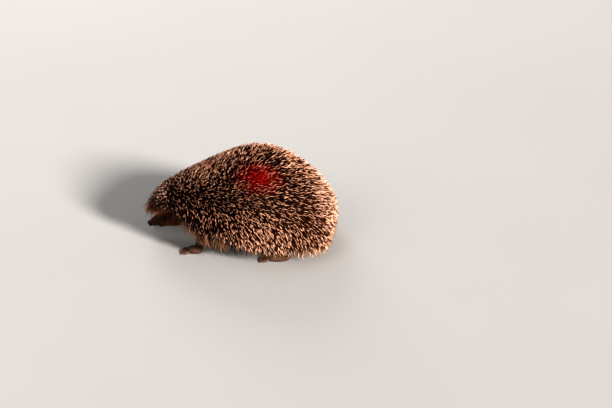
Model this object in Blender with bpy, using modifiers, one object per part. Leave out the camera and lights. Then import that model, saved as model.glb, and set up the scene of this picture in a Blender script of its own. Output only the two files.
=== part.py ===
"""Hedgehog, life size: a still model that stands hunched, with its nose down to the ground.

Frame: +Z up, nose towards -X, the animal's left side towards -Y, feet on Z = 0, and the origin on
the ground under the middle of the whole animal. Metres. Every form runs out to the tips of the
coat: the spines on the mantle, and the fur on the face, belly and legs.
"""
import math
from collections import namedtuple

import bmesh
import bpy
from mathutils import Matrix, Vector

OBJECT_NAME = "hedgehog"
GAP = 0.0003                 # clear space between two parts that meet
WELD = 0.000001              # points closer than this are one
SHARP = math.radians(50)     # edges bent by more than this are not shaded smooth
BODY_REACH = 0.2             # size of the blocks that cut right through the animal
SNOUT_REACH = 0.014          # size of those that cut through the muzzle alone
LEFT = "_left"               # the side at -Y; paired parts are made for the right and mirrored
RIGHT = "_right"

# Trunk: cross-sections from the spines over the brow to the rump. Each is a dome of spines that
# ends in a skirt, with a furred belly hanging between the two skirts.
Section = namedtuple("Section", "x top half_width widest_z skirt_z groove_z belly_z belly_half_width")
TRUNK_SECTIONS = (
    Section(-0.1240, 0.0520, 0.0160, 0.0465, 0.0405, 0.0430, 0.0430, 0.006),   # tips over the brow
    Section(-0.1175, 0.0615, 0.0280, 0.0490, 0.0400, 0.0430, 0.0430, 0.010),
    Section(-0.1020, 0.0745, 0.0380, 0.0540, 0.0455, 0.0480, 0.0480, 0.014),   # crown
    Section(-0.0850, 0.0840, 0.0450, 0.0600, 0.0505, 0.0530, 0.0530, 0.018),   # over the ears
    Section(-0.0700, 0.0915, 0.0555, 0.0550, 0.0400, 0.0480, 0.0400, 0.022),   # nape
    Section(-0.0560, 0.1005, 0.0650, 0.0440, 0.0190, 0.0400, 0.0200, 0.027),   # shoulders
    Section(-0.0350, 0.1120, 0.0740, 0.0400, 0.0140, 0.0310, 0.0130, 0.030),
    Section(-0.0080, 0.1265, 0.0805, 0.0370, 0.0110, 0.0300, 0.0120, 0.033),
    Section(0.0200, 0.1365, 0.0830, 0.0350, 0.0095, 0.0300, 0.0120, 0.034),    # top of the back
    Section(0.0450, 0.1320, 0.0835, 0.0340, 0.0085, 0.0300, 0.0120, 0.033),
    Section(0.0700, 0.1180, 0.0815, 0.0330, 0.0075, 0.0300, 0.0130, 0.032),
    Section(0.0930, 0.0990, 0.0755, 0.0310, 0.0070, 0.0290, 0.0200, 0.028),    # rump
    Section(0.1120, 0.0780, 0.0650, 0.0290, 0.0070, 0.0280, 0.0270, 0.022),
    Section(0.1240, 0.0590, 0.0480, 0.0270, 0.0075, 0.0200, 0.0160, 0.014),
)
DOME_POINTS = 11
DOME_FULLNESS = 2.25          # superellipse power of the dome: 2 is round, more is squarer
SKIRT_TIP = 0.96              # the skirt's outer edge, as a share of the half width
SKIRT_INSIDE = 0.80           # the skirt's inner face, likewise
GROOVE_ROUNDING = 0.2         # share of the groove's width that rounds each of its corners
BELLY_FLAT = 0.6              # share of the belly's width that is flat underneath
END_BULGE = 0.0035            # how far the rounded ends stand past the first and last section

# Head: cross-sections at a distance along the axis from the nape down to the nose
HEAD_ROOT = Vector((-0.070, 0.0, 0.0430))
HEAD_PITCH = math.radians(33.3)         # how far the head points below the horizon
FaceSection = namedtuple("FaceSection", "along half_width half_height lift")
FACE_SECTIONS = (
    FaceSection(-0.0160, 0.0300, 0.0280, 0.0),
    FaceSection(0.0000, 0.0270, 0.0245, 0.0),
    FaceSection(0.0120, 0.0265, 0.0225, 0.0),        # cheeks
    FaceSection(0.0220, 0.0235, 0.0195, -0.0005),
    FaceSection(0.0310, 0.0175, 0.0155, -0.0010),    # eyes
    FaceSection(0.0400, 0.0112, 0.0100, -0.0006),
    FaceSection(0.0490, 0.0072, 0.0066, 0.0006),     # muzzle, a little upturned
    FaceSection(0.0570, 0.0056, 0.0052, 0.0014),
)
FACE_POINTS = 12
JAW_CENTRE = (0.0370, 0.0, -0.0075)      # in the head's own axes, as are the nose and eyes
JAW_RADII = (0.0045, 0.0072, 0.0135)
SNOUT_START = 0.0400
NOSE_START = 0.0556
NOSE_CENTRE = (0.0566, 0.0, 0.0018)
NOSE_RADII = (0.0042, 0.0049, 0.0043)    # along the head, across it and up it
EYE_ALONG = 0.0300
EYE_OUT = 0.0138
EYE_UP = 0.0050
EYE_RADIUS = 0.0033

EAR_BASE = Vector((-0.0800, 0.0255, 0.0400))
EAR_RADII = (0.0024, 0.0090, 0.0110)     # thickness, width and height
EAR_RISE = 0.0066                        # how far its middle stands above its base
CUP_RADII = (0.0046, 0.0072, 0.0086)
CUP_CENTRE = (-0.0037, 0.0, 0.0079)      # from the ear's base, on the side of its opening
EAR_OUTWARD = math.radians(58)           # lean away from upright
EAR_TURN = math.radians(-25)             # opening turned from the front towards the side

# Neck: a band between two leaning cuts
NECK_LEAN = math.radians(13)
NECK_FRONT_X = -0.0680                   # where the front cut crosses the height below
NECK_REAR_X = -0.0510
NECK_LEVEL = 0.0500

# Legs: hip or shoulder, ankle, and the radius at each; the foot reaches forward of the ankle
Leg = namedtuple("Leg", "hip ankle hip_radius ankle_radius cut_z foot toes_out")
Foot = namedtuple("Foot", "sole_centre sole_radii toe_spread toe_radius toe_length claw_length")
FORE_FOOT = Foot(Vector((0.0050, 0.0, 0.0045)), (0.0108, 0.0080, 0.0058), 27.0, 0.0022, 0.0070, 0.0045)
HIND_FOOT = Foot(Vector((0.0040, 0.0, 0.0045)), (0.0160, 0.0078, 0.0058), 19.0, 0.0022, 0.0078, 0.0055)
LEGS = {
    "fore": Leg(Vector((-0.0360, 0.0460, 0.0560)), Vector((-0.0460, 0.0450, 0.0060)),
                0.0100, 0.0072, 0.0230, FORE_FOOT, 4.0),
    "hind": Leg(Vector((0.0500, 0.0490, 0.0560)), Vector((0.0620, 0.0500, 0.0060)),
                0.0120, 0.0076, 0.0230, HIND_FOOT, 10.0),
}
LEG_SIDES = 12
LEG_RINGS = 5
ANKLE_CUT_Z = 0.0095
TOES = 5
KNUCKLES_FORWARD = 0.86       # places of the knuckles, as shares of the sole's radii
KNUCKLES_APART = 1.15
KNUCKLE_HEIGHT = 1.1          # heights of a toe's two ends, as shares of its radius
TOE_TIP_HEIGHT = 0.8
TOE_SWELL = 0.68              # a toe's half length, as a share of the way from knuckle to tip
CLAW_RADIUS = 0.0011
CLAW_POINT = 0.4              # radius of the claw's tip, as a share of its root's

TAIL_ROOT = Vector((0.0990, 0.0, 0.0450))
TAIL_TIP = Vector((0.1050, 0.0, 0.0100))
TAIL_RADII = (0.0048, 0.0020)
TAIL_CUT_Z = 0.0220

SPINES = (0.210, 0.150, 0.095)
FACE_FUR = (0.130, 0.075, 0.040)
BARE_SKIN = (0.115, 0.075, 0.060)
COLOURS = {
    "trunk": SPINES,
    "neck": SPINES,
    "head": FACE_FUR,
    "snout": (0.090, 0.055, 0.035),
    "tail": BARE_SKIN,
    "nose": (0.012, 0.010, 0.010),
    "eye": (0.006, 0.005, 0.005),
    "ear": BARE_SKIN,
    "leg": (0.150, 0.100, 0.065),
    "foot": BARE_SKIN,
}
ROUGHNESS = {"nose": 0.30, "eye": 0.08}
FUR_ROUGHNESS = 0.80


def clear_scene():
    for item in list(bpy.data.objects):
        bpy.data.objects.remove(item, do_unlink=True)


def new_material(name, kind):
    """Return a Principled material with the colour and roughness of one kind of surface."""
    material = bpy.data.materials.new(name)
    material.use_nodes = True
    shader = material.node_tree.nodes["Principled BSDF"]
    shader.inputs["Base Color"].default_value = (*COLOURS[kind], 1.0)
    shader.inputs["Roughness"].default_value = ROUGHNESS.get(kind, FUR_ROUGHNESS)
    return material


def object_from(name, shape):
    """Turn a bmesh into an object in the animal's collection, and free the bmesh."""
    mesh = bpy.data.meshes.new(name)
    bmesh.ops.recalc_face_normals(shape, faces=shape.faces)
    shape.to_mesh(mesh)
    shape.free()
    item = bpy.data.objects.new(name, mesh)
    animal.objects.link(item)
    return item


def apply_modifiers(item):
    """Replace an object's mesh by its modified one."""
    bpy.context.view_layer.update()
    evaluated = item.evaluated_get(bpy.context.evaluated_depsgraph_get())
    finished = bpy.data.meshes.new_from_object(evaluated)
    item.modifiers.clear()
    item.data = finished


def subdivide(item):
    modifier = item.modifiers.new("Subdivision", "SUBSURF")
    modifier.levels = 1
    modifier.render_levels = modifier.levels
    apply_modifiers(item)


def combine(item, other, operation):
    """Join, cut or keep the common part, and remove the other object."""
    modifier = item.modifiers.new(operation.title(), "BOOLEAN")
    modifier.operation = operation
    modifier.solver = "EXACT"
    modifier.object = other
    apply_modifiers(item)
    bpy.data.objects.remove(other, do_unlink=True)


def copy_of(item, name):
    twin = bpy.data.objects.new(name, item.data.copy())
    animal.objects.link(twin)
    return twin


def block(low, high, frame=None):
    """A box between two corners, given in a frame of its own."""
    low = Vector(low)
    high = Vector(high)
    shape = bmesh.new()
    size = Matrix.Diagonal((*(high - low), 1.0))
    bmesh.ops.create_cube(shape, size=1.0, matrix=Matrix.Translation((low + high) / 2) @ size)
    bmesh.ops.transform(shape, matrix=frame or Matrix.Identity(4), verts=shape.verts)
    return object_from("block", shape)


def ball(name, centre, radii, segments=14, rings=8, frame=None):
    """An ellipsoid whose poles lie along its own Z."""
    shape = bmesh.new()
    bmesh.ops.create_uvsphere(shape, u_segments=segments, v_segments=rings, radius=1.0)
    bmesh.ops.scale(shape, vec=Vector(radii), verts=shape.verts)
    bmesh.ops.translate(shape, vec=Vector(centre), verts=shape.verts)
    bmesh.ops.transform(shape, matrix=frame or Matrix.Identity(4), verts=shape.verts)
    return object_from(name, shape)


def loft(name, rings, poles):
    """Join rings of points in order, and close each end on a point of its own."""
    shape = bmesh.new()
    rows = [[shape.verts.new(point) for point in ring] for ring in rings]
    count = len(rows[0])
    for row, next_row in zip(rows, rows[1:]):
        for i in range(count):
            j = (i + 1) % count
            shape.faces.new((row[i], row[j], next_row[j], next_row[i]))
    for row, pole in zip((rows[0], rows[-1]), poles):
        tip = shape.verts.new(pole)
        for i in range(count):
            shape.faces.new((row[i], row[(i + 1) % count], tip))
    return object_from(name, shape)


def upright_to(direction):
    """Rotation that takes +Z to a direction."""
    return direction.to_track_quat("Z", "Y").to_matrix().to_4x4()


def rod(name, start, end, start_radius, end_radius, sides=LEG_SIDES, rings=LEG_RINGS):
    """A round rod that tapers evenly from start to end."""
    start = Vector(start)
    end = Vector(end)
    turn = upright_to(end - start)
    rows = []
    for k in range(rings):
        share = k / (rings - 1)
        radius = start_radius + (end_radius - start_radius) * share
        centre = start.lerp(end, share)
        angles = [2 * math.pi * i / sides for i in range(sides)]
        rows.append([centre + turn @ Vector((math.cos(a), math.sin(a), 0.0)) * radius for a in angles])
    return loft(name, rows, (start, end))


def trunk_ring(section):
    """The dome from one skirt to the other, then back under the belly."""
    ring = []
    rise = section.top - section.widest_z
    power = 2.0 / DOME_FULLNESS
    for i in range(DOME_POINTS):
        angle = math.pi * i / (DOME_POINTS - 1)
        out = math.copysign(abs(math.cos(angle)) ** power, math.cos(angle))
        up = abs(math.sin(angle)) ** power
        ring.append((section.half_width * out, section.widest_z + rise * up))
    belly = section.belly_half_width
    inside = section.half_width * SKIRT_INSIDE
    side = [
        (-section.half_width * SKIRT_TIP, section.skirt_z),
        (-(section.half_width * SKIRT_TIP + inside) / 2, section.skirt_z),
        (-inside, (section.skirt_z + section.groove_z) / 2),
        (-inside + (inside - belly) * GROOVE_ROUNDING, section.groove_z),
        (-belly - (inside - belly) * GROOVE_ROUNDING, section.groove_z),
        (-belly, (section.belly_z + section.groove_z) / 2),
        (-belly * BELLY_FLAT, section.belly_z),
    ]
    ring += side + [(0.0, section.belly_z)] + [(-y, z) for y, z in reversed(side)]
    return [Vector((section.x, y, z)) for y, z in ring]


def make_trunk_form():
    first = TRUNK_SECTIONS[0]
    last = TRUNK_SECTIONS[-1]
    poles = (
        Vector((first.x - END_BULGE, 0.0, (first.top + first.belly_z) / 2)),
        Vector((last.x + END_BULGE, 0.0, (last.top + last.belly_z) / 2)),
    )
    form = loft("trunk", [trunk_ring(section) for section in TRUNK_SECTIONS], poles)
    subdivide(form)
    return form


def head_frame():
    """Axes of the head: X along it towards the nose, Y to its left and Z up out of the crown."""
    along = Vector((-math.cos(HEAD_PITCH), 0.0, -math.sin(HEAD_PITCH)))
    up = Vector((-math.sin(HEAD_PITCH), 0.0, math.cos(HEAD_PITCH)))
    across = up.cross(along)
    turn = Matrix((along, across, up)).transposed().to_4x4()
    return Matrix.Translation(HEAD_ROOT) @ turn


def make_face_form():
    frame = head_frame()
    rings = []
    for section in FACE_SECTIONS:
        ring = []
        for i in range(FACE_POINTS):
            angle = 2 * math.pi * i / FACE_POINTS
            out = section.half_width * math.cos(angle)
            up = section.half_height * math.sin(angle) + section.lift
            ring.append(frame @ Vector((section.along, out, up)))
        rings.append(ring)
    ends = (FACE_SECTIONS[0], FACE_SECTIONS[-1])
    poles = [frame @ Vector((section.along, 0.0, section.lift)) for section in ends]
    form = loft("face", rings, poles)
    subdivide(form)
    lying = Matrix.Translation(JAW_CENTRE) @ Matrix.Rotation(math.pi / 2, 4, "Y")
    jaw = ball("jaw", (0, 0, 0), JAW_RADII, segments=12, rings=8, frame=frame @ lying)
    combine(form, jaw, "UNION")
    return form


def cut_in_two(item, name, low, high, frame, step):
    """Part off what lies in a block, leaving a gap beside it; step points out of the part."""
    piece = copy_of(item, name)
    combine(piece, block(low, high, frame), "INTERSECT")
    wider = Matrix.Translation(frame.to_3x3() @ Vector(step) * GAP) @ frame
    combine(item, block(low, high, wider), "DIFFERENCE")
    return piece


def part_head_and_neck(body):
    """Part the head and the neck from the trunk by two leaning cuts."""
    lean = Matrix.Rotation(NECK_LEAN, 4, "Y")
    front = Matrix.Translation((NECK_FRONT_X, 0.0, NECK_LEVEL)) @ lean
    rear = Matrix.Translation((NECK_REAR_X, 0.0, NECK_LEVEL)) @ lean
    low = (-BODY_REACH, -BODY_REACH, -BODY_REACH)
    high = (0.0, BODY_REACH, BODY_REACH)
    head = cut_in_two(body, "head", low, high, front, (1.0, 0.0, 0.0))
    neck = cut_in_two(body, "neck", low, high, rear, (1.0, 0.0, 0.0))
    return head, neck


def make_snout(head):
    """Part the muzzle from the head, and set the nose on its end."""
    frame = head_frame()
    reach = SNOUT_REACH
    low = (SNOUT_START, -reach, -reach)
    high = (SNOUT_START + 2 * reach, reach, reach)
    snout = cut_in_two(head, "snout", low, high, frame, (-1.0, 0.0, 0.0))
    beyond = (NOSE_START, -reach, -reach)
    combine(snout, block(beyond, (NOSE_START + reach, reach, reach), frame), "DIFFERENCE")
    nose = ball("nose", NOSE_CENTRE, NOSE_RADII, frame=frame)
    behind = (NOSE_START - reach, -reach, -reach)
    combine(nose, block(behind, (NOSE_START + GAP, reach, reach), frame), "DIFFERENCE")
    return snout, nose


def make_eye(head):
    """Cut a socket in each side of the head, and return the right eye."""
    centre = head_frame() @ Vector((EYE_ALONG, -EYE_OUT, EYE_UP))
    turn = Matrix.Translation(centre) @ Matrix.Rotation(math.pi / 2, 4, "X")
    socket = ball("socket", (0, 0, 0), [EYE_RADIUS + GAP] * 3, frame=turn)
    combine(head, mirror_of(socket, "other_socket"), "DIFFERENCE")
    combine(head, socket, "DIFFERENCE")
    return ball("eye", (0, 0, 0), [EYE_RADIUS] * 3, segments=10, rings=7, frame=turn)


def make_ear(head):
    """The right ear: a cup that stands clear of the head by the gap, under the edge of the spines."""
    lean = Matrix.Rotation(-EAR_OUTWARD, 4, "X") @ Matrix.Rotation(EAR_TURN, 4, "Z")
    frame = Matrix.Translation(EAR_BASE) @ lean
    ear = ball("ear", (0.0, 0.0, EAR_RISE), EAR_RADII, segments=12, rings=8, frame=frame)
    combine(ear, ball("cup", CUP_CENTRE, CUP_RADII, frame=frame), "DIFFERENCE")
    clearance = copy_of(head, "clearance")
    swell = clearance.modifiers.new("Gap", "DISPLACE")
    swell.strength = GAP
    swell.mid_level = 0.0
    apply_modifiers(clearance)
    combine(ear, clearance, "DIFFERENCE")
    return ear


def keep_below(item, z):
    above = block((-BODY_REACH, -BODY_REACH, z), (BODY_REACH, BODY_REACH, z + BODY_REACH))
    combine(item, above, "DIFFERENCE")


def keep_above(item, z):
    below = block((-BODY_REACH, -BODY_REACH, z - BODY_REACH), (BODY_REACH, BODY_REACH, z))
    combine(item, below, "DIFFERENCE")


def make_foot(name, leg):
    """Sole, five toes and their claws."""
    foot = leg.foot
    heading = math.pi - math.radians(leg.toes_out)
    ground = Vector((leg.ankle.x, leg.ankle.y, 0.0))
    frame = Matrix.Translation(ground) @ Matrix.Rotation(heading, 4, "Z")
    item = ball(name, foot.sole_centre, foot.sole_radii, segments=12, rings=7, frame=frame)
    for i in range(TOES):
        spread = math.radians(foot.toe_spread) * (2 * i / (TOES - 1) - 1)
        forward = Vector((math.cos(spread), math.sin(spread), 0.0))
        knuckle = foot.sole_centre + Vector((forward.x * foot.sole_radii[0] * KNUCKLES_FORWARD,
                                             forward.y * foot.sole_radii[1] * KNUCKLES_APART, 0.0))
        knuckle.z = foot.toe_radius * KNUCKLE_HEIGHT
        tip = knuckle + forward * foot.toe_length
        tip.z = foot.toe_radius * TOE_TIP_HEIGHT
        turn = Matrix.Translation((knuckle + tip) / 2) @ upright_to(tip - knuckle)
        radii = (foot.toe_radius, foot.toe_radius, foot.toe_length * TOE_SWELL)
        toe = ball("toe", (0, 0, 0), radii, segments=7, rings=5, frame=frame @ turn)
        combine(item, toe, "UNION")
        claw_root = tip + Vector((0.0, 0.0, CLAW_RADIUS / 2))
        claw_tip = tip + forward * foot.claw_length
        claw_tip.z = CLAW_RADIUS
        ends = (frame @ claw_root, frame @ claw_tip)
        claw = rod("claw", *ends, CLAW_RADIUS, CLAW_RADIUS * CLAW_POINT, sides=4, rings=2)
        combine(item, claw, "UNION")
    return item


def make_leg(kind):
    """The right leg from the flank to the ankle, its foot, and the thigh that joins the trunk."""
    leg = LEGS[kind]
    limb = rod(kind + "leg", leg.hip, leg.ankle, leg.hip_radius, leg.ankle_radius)
    thigh = copy_of(limb, "thigh")
    keep_above(thigh, leg.cut_z + GAP)
    keep_below(limb, leg.cut_z)
    foot = make_foot(kind + "foot", leg)
    combine(foot, copy_of(limb, "shin"), "UNION")
    keep_below(foot, ANKLE_CUT_Z)
    keep_above(foot, 0.0)
    keep_above(limb, ANKLE_CUT_Z + GAP)
    return thigh, limb, foot


def make_tail(body):
    tail = rod("tail", TAIL_ROOT, TAIL_TIP, *TAIL_RADII, sides=10)
    stub = copy_of(tail, "stub")
    keep_above(stub, TAIL_CUT_Z + GAP)
    combine(body, stub, "UNION")
    keep_below(tail, TAIL_CUT_Z)
    return tail


def finish(item, kind):
    """Weld loose seams, give the part its material, and shade it smooth."""
    shape = bmesh.new()
    shape.from_mesh(item.data)
    bmesh.ops.remove_doubles(shape, verts=shape.verts, dist=WELD)
    bmesh.ops.triangulate(shape, faces=shape.faces)
    shape.to_mesh(item.data)
    shape.free()
    item.data.materials.clear()
    item.data.materials.append(new_material(item.name, kind))
    item.data.shade_smooth()
    item.data.set_sharp_from_angle(angle=SHARP)


def mirror_of(item, name):
    """The same piece on the other side of the animal."""
    twin = copy_of(item, name)
    shape = bmesh.new()
    shape.from_mesh(twin.data)
    bmesh.ops.scale(shape, vec=(1.0, -1.0, 1.0), verts=shape.verts)
    bmesh.ops.reverse_faces(shape, faces=shape.faces)
    shape.to_mesh(twin.data)
    shape.free()
    return twin


def make_hedgehog():
    body = make_trunk_form()
    combine(body, make_face_form(), "UNION")
    paired = []
    for kind in LEGS:
        thigh, limb, foot = make_leg(kind)
        combine(body, mirror_of(thigh, "other_thigh"), "UNION")
        combine(body, thigh, "UNION")
        paired += [(limb, "leg"), (foot, "foot")]
    tail = make_tail(body)
    head, neck = part_head_and_neck(body)
    snout, nose = make_snout(head)
    eye = make_eye(head)
    ear = make_ear(head)
    paired += [(eye, "eye"), (ear, "ear")]
    parts = [(tail, "tail"), (body, "trunk"), (neck, "neck"), (head, "head")]
    parts += [(snout, "snout"), (nose, "nose")]
    for item, kind in paired:
        parts.append((mirror_of(item, item.name + LEFT), kind))
        item.name += RIGHT
        parts.append((item, kind))
    for item, kind in parts:
        finish(item, kind)


clear_scene()
animal = bpy.data.collections.new(OBJECT_NAME)
bpy.context.scene.collection.children.link(animal)
make_hedgehog()
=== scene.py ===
"""Looks of the hedgehog: its skin, spines, fur, eyes, nose, whiskers and claws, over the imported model.

Same frame as the model, in metres: +Z up, nose towards -X, the animal's left side towards -Y.
"""
import math
from collections import namedtuple

import bmesh
import bpy
import numpy as np
from mathutils import Matrix, Vector
from mathutils.bvhtree import BVHTree
from mathutils.kdtree import KDTree


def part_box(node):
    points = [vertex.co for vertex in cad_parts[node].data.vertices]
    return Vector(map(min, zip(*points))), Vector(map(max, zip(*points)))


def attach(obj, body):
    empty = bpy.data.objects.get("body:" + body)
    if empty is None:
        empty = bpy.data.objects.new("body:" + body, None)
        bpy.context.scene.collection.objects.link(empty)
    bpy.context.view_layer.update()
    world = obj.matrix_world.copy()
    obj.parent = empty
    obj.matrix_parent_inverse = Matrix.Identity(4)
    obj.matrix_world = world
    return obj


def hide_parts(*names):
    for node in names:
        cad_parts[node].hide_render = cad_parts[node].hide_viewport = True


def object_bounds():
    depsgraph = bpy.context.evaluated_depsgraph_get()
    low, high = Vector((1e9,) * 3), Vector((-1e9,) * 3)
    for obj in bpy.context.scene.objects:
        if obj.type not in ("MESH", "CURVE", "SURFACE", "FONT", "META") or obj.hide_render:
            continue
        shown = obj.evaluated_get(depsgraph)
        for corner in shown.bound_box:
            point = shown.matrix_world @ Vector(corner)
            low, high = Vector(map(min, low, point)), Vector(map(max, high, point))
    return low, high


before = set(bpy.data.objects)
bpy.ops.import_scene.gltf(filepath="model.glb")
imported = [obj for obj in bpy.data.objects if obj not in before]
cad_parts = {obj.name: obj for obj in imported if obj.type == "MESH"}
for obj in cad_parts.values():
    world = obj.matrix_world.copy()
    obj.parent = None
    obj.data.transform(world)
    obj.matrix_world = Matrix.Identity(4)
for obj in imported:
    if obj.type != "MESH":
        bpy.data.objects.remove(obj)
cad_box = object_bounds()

BODY = "root"
SEED = 11
SIDES = (("left", -1.0), ("right", 1.0))

# Camera: it aims behind the animal's middle and a little below it
CAMERA_AZIMUTH = math.radians(8)
CAMERA_ELEVATION = math.radians(28)
CAMERA_DISTANCE = 2.4
CAMERA_LENS = 109.8
CAMERA_SENSOR = 36.0
AIM_HEIGHT = 0.068
AIM_RIGHT = 0.0852
AIM_DOWN = 0.0154

# Light: a warm, soft key from the animal's rear left, and a broad lamp on each side that it leaves in shade
KEY_FROM = (0.77, -0.54, 0.49)
KEY_STRENGTH = 4.8
KEY_SOFTNESS = math.radians(12)
KEY_COLOUR = (1.0, 0.90, 0.83)
LAMPS = (("fill", (-1.6, -2.8, 2.4), 27.0), ("back", (-1.4, 3.2, 1.5), 52.0))
LAMP_SIZE = 2.4
LAMP_COLOUR = (1.0, 0.93, 0.88)
LIGHT_AIM = (0.0, 0.0, 0.06)
WORLD_COLOUR = (0.96, 0.94, 0.92, 1.0)
WORLD_STRENGTH = 0.25
FLOOR_SIZE = 6.0

# Flesh: how far it lies inside the tips of the coat
END_DEPTH = 0.0122
FLANK_DEPTH = 0.0120
BACK_DEPTH = 0.0135
UNDER_DEPTH = 0.0030
SKIRT_AT = (0.86, 0.89, 0.92, 0.95)   # shares of the half width at which the skirt's edge is looked for
FLOOR_AT = 0.62                       # and the one at which the belly is
DOME_FULLNESS = 2.25
HULL_FULLNESS = 3.2           # the body's underside is boxier than its back
SKIRT_FULLNESS = 8.0          # the skirt of spines hangs nearly straight down
STATIONS = 40
RING_POINTS = 48
VOXEL = 0.00065
SKIN_SHARE = 0.28             # of the remeshed faces kept; most go where the spines cover the skin
LOWEST_SKIN = 0.0002
BELLY = ((0.020, 0.0, 0.046), (0.088, 0.034, 0.0275))      # middle and radii
THROAT = ((-0.062, 0.0, 0.046), (0.034, 0.030, 0.024))

# Head, in its own axes: X towards the nose, Y to its left, Z up out of the crown
HEAD_PITCH = math.radians(33.3)
NOSE_IN_HEAD = Vector((0.0566, 0.0, 0.0018))
FaceSection = namedtuple("FaceSection", "along half_width half_height lift")
FACE_SECTIONS = (
    FaceSection(-0.0160, 0.0275, 0.0255, 0.0),
    FaceSection(0.0000, 0.0247, 0.0222, 0.0),
    FaceSection(0.0120, 0.0236, 0.0200, 0.0),         # cheeks
    FaceSection(0.0220, 0.0205, 0.0170, -0.0004),
    FaceSection(0.0310, 0.0152, 0.0136, -0.0008),     # eyes
    FaceSection(0.0400, 0.0100, 0.0090, -0.0004),
    FaceSection(0.0490, 0.0066, 0.0060, 0.0008),      # muzzle, a little upturned
    FaceSection(0.0560, 0.0048, 0.0045, 0.0016),
)
FACE_POINTS = 16
JAW_CENTRE = (0.0360, 0.0, -0.0068)
JAW_RADII = (0.0125, 0.0062, 0.0040)
EYE_RADIUS = 0.0032
LID_RADIUS = 0.00062
SOCKET_DEPTH = 0.0016
BROW_RISE = 0.0007
MOUTH_DEPTH = 0.0007
PAD_RISE = 0.0007
NOSE_RADII = (0.0041, 0.0048, 0.0039)
NOSE_MIDDLE = 0.0012          # how far ahead of the nose's place its node's middle lies

EAR_BASE = (-0.0800, 0.0255, 0.0400)
EAR_RADII = (0.0021, 0.0086, 0.0108)
EAR_WALL = 0.0016
EAR_OUTWARD = math.radians(58)
EAR_TURN = math.radians(-25)
EAR_RISE = 0.0066

Leg = namedtuple("Leg", "hip ankle hip_radius ankle_radius sole_radii toe_spread toe_length toes_out")
LEGS = {
    "fore": Leg((-0.0360, 0.0460, 0.0560), (-0.0460, 0.0450, 0.0060), 0.0085, 0.0056,
                (0.0103, 0.0072, 0.0050), 27.0, 0.0070, 4.0),
    "hind": Leg((0.0500, 0.0490, 0.0560), (0.0620, 0.0500, 0.0060), 0.0105, 0.0060,
                (0.0154, 0.0070, 0.0050), 19.0, 0.0078, 10.0),
}
SOLE_FORWARD = {"fore": 0.0050, "hind": 0.0040}
SOLE_HEIGHT = 0.0044
TOES = 5
TOE_RADIUS = 0.0019
TOE_PAD_RADII = (0.0022, 0.0017, 0.0014)
CLAW_RADIUS = 0.00085
CLAW_LENGTH = {"fore": 0.0044, "hind": 0.0054}

TAIL_ROOT = (0.0960, 0.0, 0.0420)
TAIL_TIP = (0.1048, 0.0, 0.0108)
TAIL_RADII = (0.0042, 0.0014)

# Lower edge of the spiny mantle, from the brow to the rump: x and height
HEM = ((-0.130, 0.050), (-0.104, 0.0535), (-0.084, 0.0560), (-0.070, 0.0520), (-0.056, 0.0450),
       (-0.035, 0.0385), (0.000, 0.0330), (0.040, 0.0295), (0.100, 0.0270), (0.130, 0.0270))

WHORL = (-0.084, 0.0, 0.074)                  # where the spines of the crown turn forward
WHORL_SIZE = 0.017

MARK_CENTRE = (0.0335, -0.0474, 0.1176)      # red paint mark on the left of the back
MARK_RADII = (0.038, 0.027, 0.027)
RED_PAINT = (0.26, 0.002, 0.0015)
RED_LIGHT = (0.80, 0.050, 0.034)
RED_SHADOW = (0.24, 0.003, 0.002)
RED_SKIN = (0.25, 0.004, 0.003)

SPINE_SPACING = 0.00148
SPINE_RADIUS = 0.00038
SPINE_LENGTH = 0.0176
SPINE_DEPTH = 0.0008                          # of its root in the skin
SPINE_HEIGHTS = (0.0, 0.07, 0.30, 0.72, 0.89)
SPINE_PROFILE = (0.45, 0.80, 1.0, 0.92, 0.58)
CROWN_LENGTH = -0.0050                        # what is added on the crown to the length and the radius
CROWN_RADIUS = -0.00005
FUR_HEIGHTS = (0.0, 0.35, 0.75)
FUR_PROFILE = (0.8, 1.0, 0.6)
FRINGE_HEIGHTS = (0.0, 0.30, 0.62, 0.86)
FRINGE_PROFILE = (0.9, 1.0, 0.8, 0.45)
WHISKER_HEIGHTS = (0.0, 0.12, 0.25, 0.38, 0.52, 0.66, 0.80, 0.92)
WHISKER_PROFILE = (1.0, 0.98, 0.94, 0.88, 0.80, 0.70, 0.56, 0.38)
WHISKER_RADIUS = 0.00013
WHISKER_ROWS = 4                              # rows on each side, and the whiskers in each
LOWEST_TIP = 0.0008                           # hair stops short of the ground
LONGEST = 0.05                                # how far the outside of the coat is looked for
TRIES = 5                                     # roots tried for each square of the spacing
PATCH = 0.0034                                # side of one strand's patch, as a share of the map

# Hair: its colours at the root, and the two between which the tips lie
HAIRS = {
    "face_hair": ((0.045, 0.018, 0.008), (0.27, 0.115, 0.046), (0.50, 0.27, 0.13)),
    "brow_hair": ((0.030, 0.010, 0.004), (0.17, 0.060, 0.022), (0.30, 0.125, 0.052)),
    "body_hair": ((0.030, 0.018, 0.011), (0.21, 0.112, 0.064), (0.44, 0.275, 0.18)),
    "leg_hair": ((0.025, 0.016, 0.011), (0.11, 0.070, 0.044), (0.24, 0.16, 0.105)),
}


# ---------------------------------------------------------------- meshes

def object_from(name, mesh):
    item = bpy.data.objects.new(name, mesh)
    bpy.context.scene.collection.objects.link(item)
    return item


def object_of(name, shape):
    """Turn a bmesh into an object, with its faces pointing out, and free the bmesh."""
    mesh = bpy.data.meshes.new(name)
    bmesh.ops.recalc_face_normals(shape, faces=shape.faces)
    shape.to_mesh(mesh)
    shape.free()
    return object_from(name, mesh)


def apply_modifiers(item):
    bpy.context.view_layer.update()
    evaluated = item.evaluated_get(bpy.context.evaluated_depsgraph_get())
    finished = bpy.data.meshes.new_from_object(evaluated)
    item.modifiers.clear()
    item.data = finished


def modify(item, kind, **settings):
    modifier = item.modifiers.new(kind.title(), kind)
    for key, value in settings.items():
        setattr(modifier, key, value)
    apply_modifiers(item)


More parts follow.
